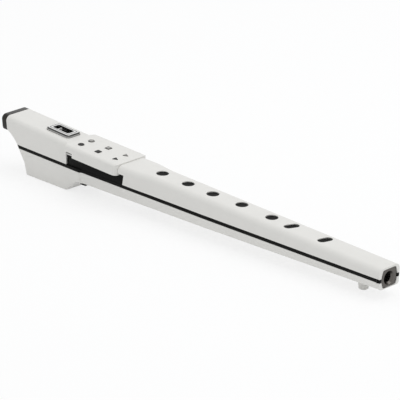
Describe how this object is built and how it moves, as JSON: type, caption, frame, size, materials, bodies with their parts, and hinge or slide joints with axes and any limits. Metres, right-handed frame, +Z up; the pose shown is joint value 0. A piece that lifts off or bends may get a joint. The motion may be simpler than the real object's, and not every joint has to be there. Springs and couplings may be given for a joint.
{
  "type": "digital wind controller",
  "caption": "Long white electronic recorder with a battery bulge at the mouth end, a panel of small keys, finger sensors along the tube and a peg near the foot.",
  "frame": {"origin": "middle of the bounding box at table level", "axes": "+X from the mouthpiece to the foot, +Z up, -Y the side with the power switch"},
  "size_m": [0.4798, 0.0424, 0.0559],
  "materials": {
    "white_shell": "satin gloss",
    "black_gloss": "gloss",
    "black_matt": "fine matt",
    "smoked_chrome": "smoked mirror",
    "bright_chrome": "mirror",
    "light_plastic": "satin",
    "rubber": "matt",
    "board_green": "solder mask",
    "steel": "plated",
    "cell_sleeve": "plain wrap",
    "key_dark": "satin",
    "key_grey": "satin"
  },
  "bodies": {
    "body": {"top_shell": "white_shell", "bottom_shell": "white_shell", "panel_cover": "white_shell", "chassis_frame": "black_gloss", "foot_peg": "white_shell", "foot_insert": "smoked_chrome", "underside_lug": "black_matt", "window_bezel": "bright_chrome", "window_cup": "black_matt", "window_lip": "light_plastic", "breath_hose": "light_plastic", "breath_sensor": "black_matt", "sensor_board": "board_green", "main_board": "board_green", "key_mat": "rubber", "key_board": "board_green", "thumb_sensor": "black_matt", "phones_jack": "black_matt", "usb_socket": "steel", "battery_tray": "black_matt", "contact_plate_rear": "steel", "contact_plate_front": "steel", "battery_cell_1": "cell_sleeve", "battery_cell_2": "cell_sleeve", "battery_cell_3": "cell_sleeve", "battery_cell_4": "cell_sleeve", "finger_sensor_1": "black_matt", "finger_sensor_2": "black_matt", "finger_sensor_3": "black_matt", "finger_sensor_4": "black_matt", "finger_sensor_5": "black_matt", "finger_sensor_6": "black_matt", "finger_sensor_7": "black_matt", "shell_screw_1": "steel", "shell_screw_2": "steel", "shell_screw_3": "steel", "shell_screw_4": "steel", "shell_screw_5": "steel"},
    "mouthpiece": {"mouthpiece_cap": "smoked_chrome", "mouthpiece_seal": "rubber"},
    "battery_door": {"battery_door": "white_shell"},
    "power_switch": {"power_switch": "light_plastic"},
    "key_round_filled": {"key_round_filled": "key_dark"},
    "key_round_open": {"key_round_open": "key_grey"},
    "key_square_filled": {"key_square_filled": "key_dark"},
    "key_square_open": {"key_square_open": "key_grey"},
    "key_triangle_filled": {"key_triangle_filled": "key_dark"},
    "key_triangle_open": {"key_triangle_open": "key_grey"}
  },
  "joints": [
    {"name": "mouthpiece_pull", "type": "slide", "parent": "body", "child": "mouthpiece", "axis": [-0.9998, 0, 0.0191], "range_m": [0, 0.015]},
    {"name": "battery_door_lift", "type": "slide", "parent": "body", "child": "battery_door", "axis": [0, 0, -1], "range_m": [0, 0.02]},
    {"name": "power_switch_slide", "type": "slide", "parent": "body", "child": "power_switch", "axis": [-0.9998, 0, 0.0191], "range_m": [0, 0.002]},
    {"name": "key_round_filled_press", "type": "slide", "parent": "body", "child": "key_round_filled", "axis": [-0.0556, 0, -0.9985], "range_m": [0, 0.0008], "stiffness_N_per_m": 40, "springref_m": -0.0006},
    {"name": "key_round_open_press", "type": "slide", "parent": "body", "child": "key_round_open", "axis": [-0.0556, 0, -0.9985], "range_m": [0, 0.0008], "stiffness_N_per_m": 40, "springref_m": -0.0006},
    {"name": "key_square_filled_press", "type": "slide", "parent": "body", "child": "key_square_filled", "axis": [-0.0556, 0, -0.9985], "range_m": [0, 0.0008], "stiffness_N_per_m": 40, "springref_m": -0.0006},
    {"name": "key_square_open_press", "type": "slide", "parent": "body", "child": "key_square_open", "axis": [-0.0556, 0, -0.9985], "range_m": [0, 0.0008], "stiffness_N_per_m": 40, "springref_m": -0.0006},
    {"name": "key_triangle_filled_press", "type": "slide", "parent": "body", "child": "key_triangle_filled", "axis": [-0.0556, 0, -0.9985], "range_m": [0, 0.0008], "stiffness_N_per_m": 40, "springref_m": -0.0006},
    {"name": "key_triangle_open_press", "type": "slide", "parent": "body", "child": "key_triangle_open", "axis": [-0.0556, 0, -0.9985], "range_m": [0, 0.0008], "stiffness_N_per_m": 40, "springref_m": -0.0006}
  ]
}
